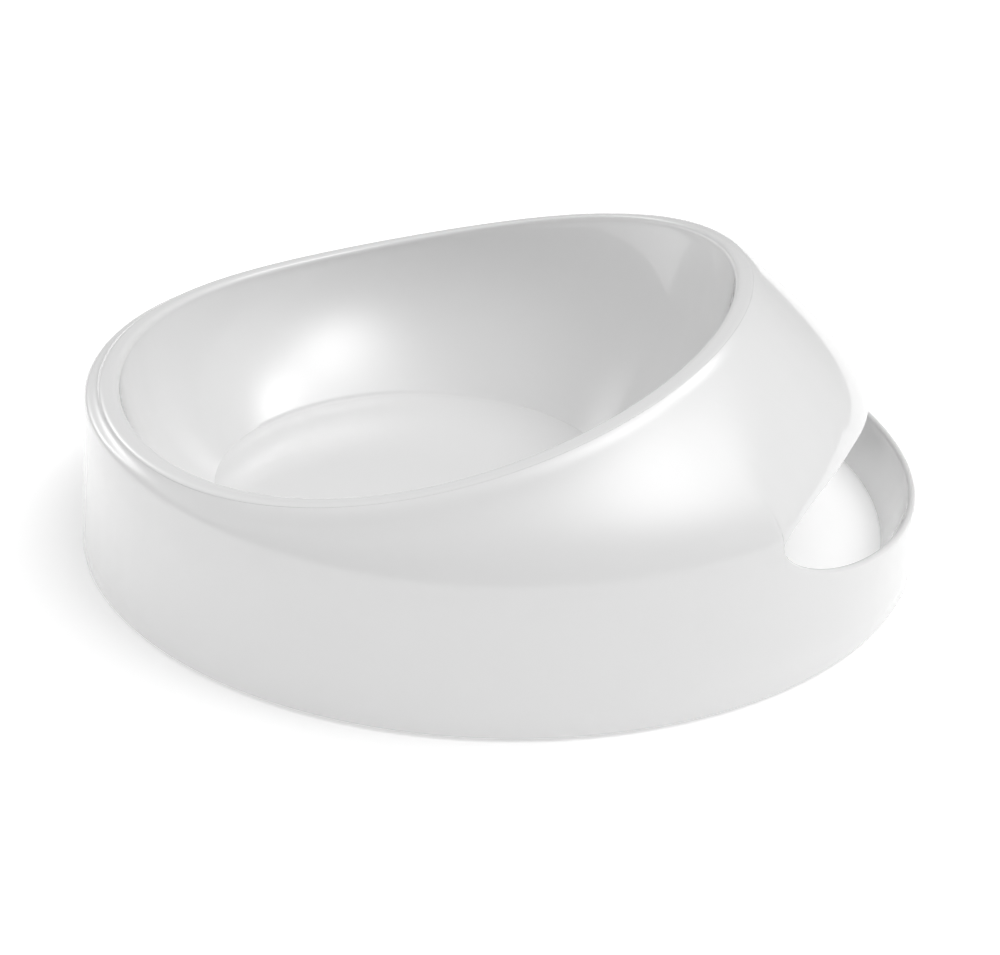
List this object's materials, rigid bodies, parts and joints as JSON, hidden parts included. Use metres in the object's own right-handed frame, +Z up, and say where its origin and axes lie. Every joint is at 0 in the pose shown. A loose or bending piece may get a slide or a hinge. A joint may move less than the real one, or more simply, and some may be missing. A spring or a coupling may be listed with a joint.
{
  "type": "bedpan",
  "caption": "Round bedpan with a tilted oval mouth: an open-bottomed outer shell with a loop handle under a hood, a basin hung on it by its rolled lip, and non-slip feet.",
  "frame": {"origin": "centre of the round base, on the plane the feet stand on", "axes": "+X towards the handle and the high end of the mouth, +Z up, +Y to the left of +X; the object is symmetric about the XZ plane"},
  "size_m": [0.29, 0.29, 0.0878],
  "materials": {
    "shell_plastic": "glossy white injection-moulded plastic",
    "basin_plastic": "glossy white injection-moulded plastic, a little greyer inside",
    "foot_rubber": "matt light grey non-slip rubber"
  },
  "bodies": {
    "root": {"outer_shell": "shell_plastic", "basin": "basin_plastic", "foot_back_left": "foot_rubber", "foot_back_right": "foot_rubber", "foot_front_left": "foot_rubber", "foot_front_right": "foot_rubber"}
  },
  "joints": []
}
